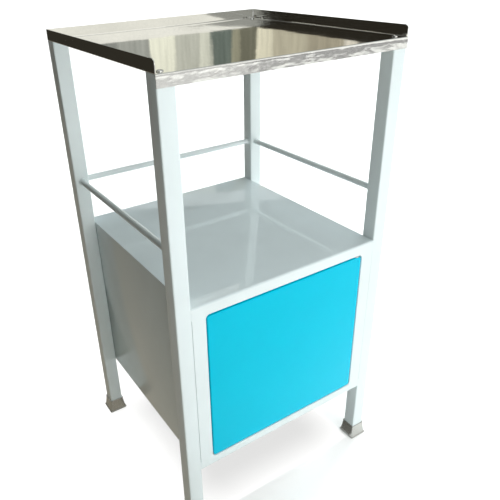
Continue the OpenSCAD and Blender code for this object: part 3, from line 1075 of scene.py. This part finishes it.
class CABINET_OT_shoes(bpy.types.Operator):
    """Moulded shoes that flare from the tube to a wide foot"""

    bl_idname = "cabinet.shoes"
    bl_label = "Shoes"

    def execute(self, context):
        for node in [n for n in frame["nodes"] if n.startswith("shoe_")]:
            self.shoe(node)
        return {"FINISHED"}

    @staticmethod
    def shoe(node):
        """A square cup: an upright edge round the foot, a concave flare up to the neck, and a
        socket that goes half-way down round the tube."""
        size = sizes()
        low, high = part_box(node)
        leg_low, leg_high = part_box(node.replace("shoe_", "leg_"))
        centre = (low + high) / 2
        foot = (high.x - low.x) / 2
        tube = (leg_high.x - leg_low.x) / 2
        top = high.z - low.z
        neck = tube + size.shoe_wall
        edge = size.shoe_edge
        soft_in, soft_up = 0.5 * MM, 0.4 * MM
        waist = foot - 1.1 * MM
        hip = waist - 0.2 * MM
        flare_start = edge + 0.7 * MM
        collar = 4 * MM
        fit = 0.05 * MM
        steps = 8
        profile = [(foot - soft_in, 0.0), (foot, soft_up), (foot, edge - soft_up), (foot - soft_in, edge)]
        profile += [(waist, edge + 0.1 * MM), (hip, flare_start)]
        for i in range(1, steps + 1):
            f = i / steps
            rise = flare_start + (top - collar - edge) * f
            profile.append((hip - (hip - neck) * (1 - (1 - f) ** 1.5), rise))
        profile += [(neck, top - 0.9 * MM), (neck - soft_up, top - 0.15 * MM), (tube + soft_in, top)]
        profile += [(tube + fit, top - soft_up), (tube + fit, top * 0.5)]
        rings = []
        for half, rise in profile:
            corner = size.shoe_wall + max(half - neck, 0.0) * 0.15
            outline = round_outline(half, half, corner)
            rings.append([(centre.x + u, centre.y + v, low.z + rise) for u, v in outline])
        bm = bmesh.new()
        loft(bm, rings, closed=True, caps=True)
        add_piece(node.replace("shoe_", "flared_shoe_"), bm, CABINET, node, sharp_deg=35)


# ---------------------------------------------------------------- hinges, catch and their fasteners


class CABINET_OT_fittings(bpy.types.Operator):
    """Pivot pins, bushes, plates, magnetic catch and striker"""

    bl_idname = "cabinet.fittings"
    bl_label = "Hinges and catch"

    # How far each small part's edges are broken, in mm.
    ROUNDED_MM = {
        "catch_housing": 0.6, "catch_magnet": 0.2, "catch_poles": 0.2, "catch_nuts": 0.2,
        "catch_studs": 0.2, "striker_plate": 0.3, "hinge_pin_upper": 0.3, "hinge_pin_lower": 0.3,
        "pivot_bush_upper": 0.25, "pivot_bush_lower": 0.25, "pivot_plate_upper": 0.2,
        "pivot_plate_lower": 0.2, "door_stiffener": 0.2,
    }

    def execute(self, context):
        for node, radius_mm in self.ROUNDED_MM.items():
            self.soften(node, radius_mm * MM)
        self.rivets()
        return {"FINISHED"}

    @staticmethod
    def soften(node, radius):
        """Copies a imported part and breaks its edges."""
        bm = bmesh.new()
        bm.from_mesh(frame["nodes"][node].data)
        bmesh.ops.remove_doubles(bm, verts=bm.verts, dist=1e-6)
        bmesh.ops.dissolve_limit(bm, angle_limit=math.radians(2), verts=bm.verts, edges=bm.edges)
        bevel_all(bm, radius, 2, 35)
        body = DOOR if node in frame["record"]["behaviour"]["bodies"][DOOR] else CABINET
        add_piece(node + "_part", bm, body, node)

    @staticmethod
    def rivets():
        """Two domed rivets through the striker plate."""
        low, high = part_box("striker_rivets")
        head = (high.x - low.x) / 2
        dome = 0.5 * MM
        shank = 1.5 * MM
        profile = [(0.0, dome)] + [(head * u, dome * v) for u, v in arc((0, 0), 1.0, 90, 0, 5)[1:]]
        profile += [(head, -shank), (0.0, -shank)]
        bm = bmesh.new()
        lathe(bm, profile, 20)
        mid_x = (low.x + high.x) / 2
        spots = [((mid_x, high.y, zz), (-math.pi / 2, 0.0, 0.0)) for zz in (low.z + head, high.z - head)]
        place_fasteners("striker_domed_rivets", bm, spots, DOOR, "striker_rivets")


# ---------------------------------------------------------------- stage


def stage_piece(name, bm, material, in_view=True):
    """A stage mesh; one that isn't in view still shades the cabinet and shows in its polish."""
    mesh = bpy.data.meshes.new(name)
    bm.to_mesh(mesh)
    bm.free()
    mesh.materials.append(material)
    piece = bpy.data.objects.new(name, mesh)
    bpy.context.scene.collection.objects.link(piece)
    piece.visible_camera = in_view


def glow_from(tree, shader, tone, glow, behind=0.0):
    """Makes a stage card give its own tone of light in front, and plain white light behind."""
    back = add_node(tree, "ShaderNodeNewGeometry").outputs["Backfacing"]
    light = add_node(
        tree, "ShaderNodeMix", {"data_type": "RGBA"}, i0=back, i6=tone, i7=linear("#FFFFFF")
    )
    strength = add_node(tree, "ShaderNodeMapRange", None, Value=back, To_Min=glow, To_Max=behind)
    tree.links.new(light.outputs[2], shader.inputs["Emission Color"])
    tree.links.new(strength.outputs["Result"], shader.inputs["Emission Strength"])
    shader.inputs["Base Color"].default_value = linear("#000000")
    shader.inputs["Specular IOR Level"].default_value = 0.0


def card_material(name, hex_colour, glow=1.1, behind=0.0):
    """Studio board lit from behind: an even glow of its own tone, with a faint uneven wash."""
    material, tree, shader, place = new_material(name)
    # The wash changes over some 250 mm.
    cloud = add_node(tree, "ShaderNodeTexNoise", None, Vector=place, Scale=cells_per_metre(250), Detail=2.0)
    glow_from(tree, shader, tint(tree, linear(hex_colour), cloud.outputs["Fac"], 0.75), glow, behind)
    return material


def curtain_material(name, stripes, end, standpoint, glow):
    """Pleated curtains and boards lit from behind: upright bands of tone with soft edges, broken
    up by the narrow streaks of the pleats. Each stripe is the bearing where it starts, in degrees
    round a fixed standpoint, and its tone."""
    material, tree, shader, place = new_material(name)
    spot = add_node(tree, "ShaderNodeSeparateXYZ", None, Vector=place)
    across = add_node(
        tree, "ShaderNodeMath", {"operation": "SUBTRACT"}, i0=spot.outputs["X"], i1=standpoint.x
    )
    away = add_node(
        tree, "ShaderNodeMath", {"operation": "SUBTRACT"}, i0=spot.outputs["Y"], i1=standpoint.y
    )
    turn = add_node(
        tree, "ShaderNodeMath", {"operation": "ARCTAN2"}, i0=across.outputs["Value"], i1=away.outputs["Value"]
    )
    bearing = add_node(tree, "ShaderNodeMath", {"operation": "DEGREES"}, i0=turn.outputs["Value"])
    pleat_place = add_node(
        tree, "ShaderNodeCombineXYZ", None, X=bearing.outputs["Value"], Z=spot.outputs["Z"]
    )
    # Pleats are about 0.4 degrees apart, some 28 mm, and nearly straight down.
    pleats = add_node(
        tree, "ShaderNodeTexNoise", None,
        Vector=pleat_place.outputs["Vector"], Scale=2.6, Detail=4.0, Roughness=0.6,
    )
    sway = add_node(
        tree, "ShaderNodeMapRange", None,
        Value=pleats.outputs["Fac"], From_Min=0.3, From_Max=0.7, To_Min=-0.3, To_Max=0.3,
    )
    swayed = add_node(
        tree, "ShaderNodeMath", {"operation": "ADD"}, i0=bearing.outputs["Value"], i1=sway.outputs["Result"]
    )
    start = stripes[0][0]
    along = add_node(
        tree, "ShaderNodeMapRange", None, Value=swayed.outputs["Value"], From_Min=start, From_Max=end
    )
    ramp = add_node(tree, "ShaderNodeValToRGB", None, Fac=along.outputs["Result"])
    soft_edge = 0.12
    points = []
    for (left, tone), (right, _) in zip(stripes, list(stripes[1:]) + [(end, None)]):
        points += [(left + soft_edge, tone), (right - soft_edge, tone)]
    stops = ramp.color_ramp.elements
    while len(stops) < len(points):
        stops.new(0.5)
    for stop, (where, tone) in zip(stops, points):
        stop.position = (where - start) / (end - start)
        stop.color = linear(tone)
    shade = add_node(
        tree, "ShaderNodeMapRange", None,
        Value=pleats.outputs["Fac"], From_Min=0.3, From_Max=0.7, To_Min=0.78, To_Max=1.12,
    )
    toned = add_node(
        tree, "ShaderNodeVectorMath", {"operation": "SCALE"},
        i0=ramp.outputs["Color"], i3=shade.outputs["Result"],
    )
    glow_from(tree, shader, toned.outputs["Vector"], glow)
    return material


class CABINET_OT_stage(bpy.types.Operator):
    """Pale studio floor, soft lights, tone cards and the camera"""

    bl_idname = "cabinet.stage"
    bl_label = "Stage"

    CAMERA_PLACE = Vector((-0.4898, -0.7722, 0.9033))
    FLOOR_HALF_WIDTH = 40.0
    # The floor lies this far under the shoes, so that the two never share a plane.
    FLOOR_DROP = 0.2 * MM
    # Curtains behind the cabinet, for the polished tray to mirror: where each band starts, as a
    # bearing round the camera's place in plan, from straight back towards the right, and its tone.
    CURTAINS = (
        (14.0, "#8E908A"), (22.8, "#A9ABA3"), (25.9, "#F7F7E3"), (28.2, "#C4C5B8"), (30.6, "#DBDCCC"),
        (31.7, "#6C766E"), (33.8, "#9C9A84"), (34.5, "#757464"), (36.2, "#E6E1C8"), (37.6, "#BDB7A1"),
        (41.0, "#ACA590"), (44.3, "#E1DBCB"), (45.6, "#7C786F"),
    )
    CURTAIN_END = 58.0
    CURTAIN_SECTIONS = 44
    CURTAIN_DISTANCE = 4.0
    CURTAIN_LOW, CURTAIN_HIGH = 0.9, 1.68
    CURTAIN_GLOW = 1.1
    # Upright cards for the deck, the tray's lip and rims, and the fronts to mirror: the bearings
    # of their ends, their heights, how far off they stand, their tone and how strongly they glow.
    CARDS = {
        "deck_card": (14.0, 58.0, 1.68, 3.4, 4.0, "#6E7274", 1.1),
        "lip_card_left": (133.0, 172.0, 0.0, 0.36, 3.4, "#F0F0F1", 1.0),
        "lip_card_right": (104.0, 133.0, 0.0, 0.36, 3.4, "#B4B4B6", 1.0),
        "front_panel": (118.0, 188.0, 0.8, 2.1, 4.0, "#FFFFFA", 1.6),
    }
    # The dark flag's section in X and Z, and where it starts and ends in Y.
    FLAG_SECTION = ((-1.15, 0.0), (-1.15, 1.9), (-0.7, 3.2))
    FLAG_ENDS = (-1.6, 8.0)
    # Two opposite corners of each mat, and its tone from above.
    # The mats are painted shade: dark sheets hidden from the camera that stand in for the shade on the floor
    # to the left of the cabinet and under it.
    SHADE_MATS = {
        "side_mat": ((-1.15, -0.7), (-0.17, 5.0), "#A8A294"),
        "under_mat": ((-0.17, -0.185), (0.17, 0.5), "#6A6762"),
    }
    MAT_HEIGHT = 1.0 * MM
    MAT_GLOW_BELOW = 0.85

    def execute(self, context):
        cabinet = [o for o in context.scene.objects if o.type == "MESH"]
        self.floor()
        self.cards()
        self.shade()
        self.shade_mats()
        self.lights(cabinet)
        self.camera(context)
        return {"FINISHED"}

    def floor(self):
        """A floor wide enough to fill every view."""
        bm = bmesh.new()
        bmesh.ops.create_grid(bm, x_segments=2, y_segments=2, size=self.FLOOR_HALF_WIDTH)
        bmesh.ops.translate(bm, verts=bm.verts, vec=(0.0, 0.0, -self.FLOOR_DROP))
        stage_piece("studio_floor", bm, studio_vinyl())

    def plan_place(self, bearing, distance):
        """X and Y of a place at a bearing, in degrees, and a distance from the camera in plan."""
        angle = math.radians(bearing)
        x = self.CAMERA_PLACE.x + distance * math.sin(angle)
        y = self.CAMERA_PLACE.y + distance * math.cos(angle)
        return x, y

    def upright(self, name, start, end, low, high, distance, tone, glow):
        """A flat upright card between two bearings."""
        feet = [self.plan_place(bearing, distance) for bearing in (start, end)]
        corners = [(*feet[0], low), (*feet[1], low), (*feet[1], high), (*feet[0], high)]
        bm = bmesh.new()
        bm.faces.new([bm.verts.new(c) for c in corners])
        stage_piece(name, bm, card_material(name + "_board", tone, glow), in_view=False)

    def cards(self):
        """The curved curtain and the flat cards."""
        start, end = self.CURTAINS[0][0], self.CURTAIN_END
        rows = [[], []]
        for i in range(self.CURTAIN_SECTIONS + 1):
            bearing = start + (end - start) * i / self.CURTAIN_SECTIONS
            x, y = self.plan_place(bearing, self.CURTAIN_DISTANCE)
            rows[0].append((x, y, self.CURTAIN_LOW))
            rows[1].append((x, y, self.CURTAIN_HIGH))
        bm = bmesh.new()
        loft(bm, rows, closed=False)
        curtain = curtain_material(
            "backlit_curtain", self.CURTAINS, end, self.CAMERA_PLACE, self.CURTAIN_GLOW
        )
        stage_piece("curtain", bm, curtain, in_view=False)
        for name, facts in self.CARDS.items():
            self.upright(name, *facts)

    def shade(self):
        """A dark flag all along the left that leans over the cabinet and keeps light off that side."""
        bm = bmesh.new()
        rows = [[bm.verts.new((x, y, z)) for x, z in self.FLAG_SECTION] for y in self.FLAG_ENDS]
        for i in range(len(self.FLAG_SECTION) - 1):
            bm.faces.new((rows[0][i], rows[1][i], rows[1][i + 1], rows[0][i + 1]))
        stage_piece("shade_flag", bm, card_material("umber_felt", "#37342D"), in_view=False)

    def shade_mats(self):
        """Painted shade: mats on the floor to the left and underneath, hidden from the camera, that stand in
        for the shade there in the cabinet's polish and in the light that the floor throws back at it. From
        above they are darker than the floor, and below they light it, so that it stays pale."""
        for name, ((x0, y0), (x1, y1), tone) in self.SHADE_MATS.items():
            corners = ((x0, y0), (x1, y0), (x1, y1), (x0, y1))
            bm = bmesh.new()
            bm.faces.new([bm.verts.new((x, y, self.MAT_HEIGHT)) for x, y in corners])
            # A board whose top is painted shade and whose underside glows to light the floor.
            shade_board = card_material(name + "_felt", tone, behind=self.MAT_GLOW_BELOW)
            stage_piece(name, bm, shade_board, in_view=False)

    @staticmethod
    def soft_box(name, place, aim, width, height, power, tone):
        """A rectangular lamp aimed at a point, hidden from the camera."""
        light = bpy.data.lights.new(name, "AREA")
        light.shape = "RECTANGLE"
        light.size = width
        light.size_y = height
        light.energy = power
        light.color = linear(tone)[:3]
        lamp = bpy.data.objects.new(name, light)
        lamp.location = place
        lamp.rotation_euler = (Vector(aim) - Vector(place)).to_track_quat("-Z", "Y").to_euler()
        lamp.visible_camera = False
        bpy.context.scene.collection.objects.link(lamp)
        return lamp

    def lights(self, cabinet):
        """A low key in front, a soft side light that shows in no reflection, the floor's own wash
        and an even pale surround."""
        self.soft_box(
            "key", place=(-0.2, -3.2, 2.0), aim=(0.0, 0.0, 0.3),
            width=1.6, height=1.6, power=9, tone="#F6FDFF",
        )
        side = self.soft_box(
            "side", place=(2.6, 1.7, 2.3), aim=(0.0, 0.0, 0.45),
            width=2.6, height=1.4, power=58, tone="#F0FAFF",
        )
        side.visible_glossy = False
        self.floor_wash(cabinet)
        world = bpy.data.worlds.new("studio_air")
        bpy.context.scene.world = world
        world.use_nodes = True
        tree = world.node_tree
        tree.nodes.clear()
        sky = add_node(tree, "ShaderNodeBackground", None, Color=linear("#F7FBFB"), Strength=0.8)
        output = add_node(tree, "ShaderNodeOutputWorld")
        tree.links.new(sky.outputs["Background"], output.inputs["Surface"])

    @staticmethod
    def floor_wash(cabinet):
        """A soft light from straight above that falls on the floor alone and keeps it pale; only
        the cabinet casts a shadow in it."""
        wash = bpy.data.lights.new("floor_wash", "SUN")
        wash.energy = 2.7
        wash.angle = math.radians(60)
        lamp = bpy.data.objects.new("floor_wash", wash)
        bpy.context.scene.collection.objects.link(lamp)
        only_floor = bpy.data.collections.new("only_floor")
        only_floor.objects.link(bpy.data.objects["studio_floor"])
        lamp.light_linking.receiver_collection = only_floor
        shading = bpy.data.collections.new("cabinet_shading")
        for piece in cabinet:
            shading.objects.link(piece)
        lamp.light_linking.blocker_collection = shading

    def camera(self, context):
        """A lens of about 40 mm, to the front left and a little above the tray, aimed down at the
        cabinet; the cards and the curtain are placed for it."""
        data = bpy.data.cameras.new("view")
        camera = bpy.data.objects.new("view", data)
        bpy.context.scene.collection.objects.link(camera)
        data.sensor_width = 36.0
        data.lens = 40.43
        data.shift_x = 0.0621
        data.shift_y = 0.0079
        camera.location = self.CAMERA_PLACE
        ahead = Vector((0.46277, 0.74764, -0.47632))
        right = Vector((0.84047, -0.54089, -0.03243))
        above = right.cross(ahead)
        camera.rotation_euler = Matrix((right, above, -ahead)).transposed().to_euler()
        data.clip_start = 0.01
        data.clip_end = 100.0
        context.scene.camera = camera
        context.scene.view_settings.view_transform = "Standard"


class CABINET_PT_panel(bpy.types.Panel):
    """Lists the cabinet's operators"""

    bl_idname = "CABINET_PT_panel"
    bl_label = "Bedside cabinet"
    bl_space_type = "VIEW_3D"
    bl_region_type = "UI"
    bl_category = "Cabinet"

    def draw(self, context):
        for group in (context.scene.cabinet_sizes, context.scene.cabinet_colours):
            box = self.layout.box()
            for key in group.bl_rna.properties.keys():
                if key not in ("rna_type", "name"):
                    box.prop(group, key)
        for piece in PIECES:
            self.layout.operator(piece.bl_idname)


PIECES = (
    CABINET_OT_tray, CABINET_OT_tray_screws, CABINET_OT_legs, CABINET_OT_leg_caps, CABINET_OT_rods,
    CABINET_OT_cupboard, CABINET_OT_front_frame, CABINET_OT_door, CABINET_OT_shoes,
    CABINET_OT_fittings, CABINET_OT_stage,
)
CLASSES = (CabinetSizes, CabinetColours, *PIECES, CABINET_PT_panel)


def register():
    """Adds the classes, and the sizes and colours of a scene."""
    for cls in CLASSES:
        bpy.utils.register_class(cls)
    bpy.types.Scene.cabinet_sizes = bpy.props.PointerProperty(type=CabinetSizes)
    bpy.types.Scene.cabinet_colours = bpy.props.PointerProperty(type=CabinetColours)


def unregister():
    """Takes away what register added."""
    del bpy.types.Scene.cabinet_colours
    del bpy.types.Scene.cabinet_sizes
    for cls in reversed(CLASSES):
        bpy.utils.unregister_class(cls)


def main():
    register()
    for piece in PIECES:
        group, name = piece.bl_idname.split(".")
        done = getattr(getattr(bpy.ops, group), name)()
        if done != {"FINISHED"}:
            raise RuntimeError(piece.bl_label + " wasn't finished")


if __name__ == "__main__":
    main()
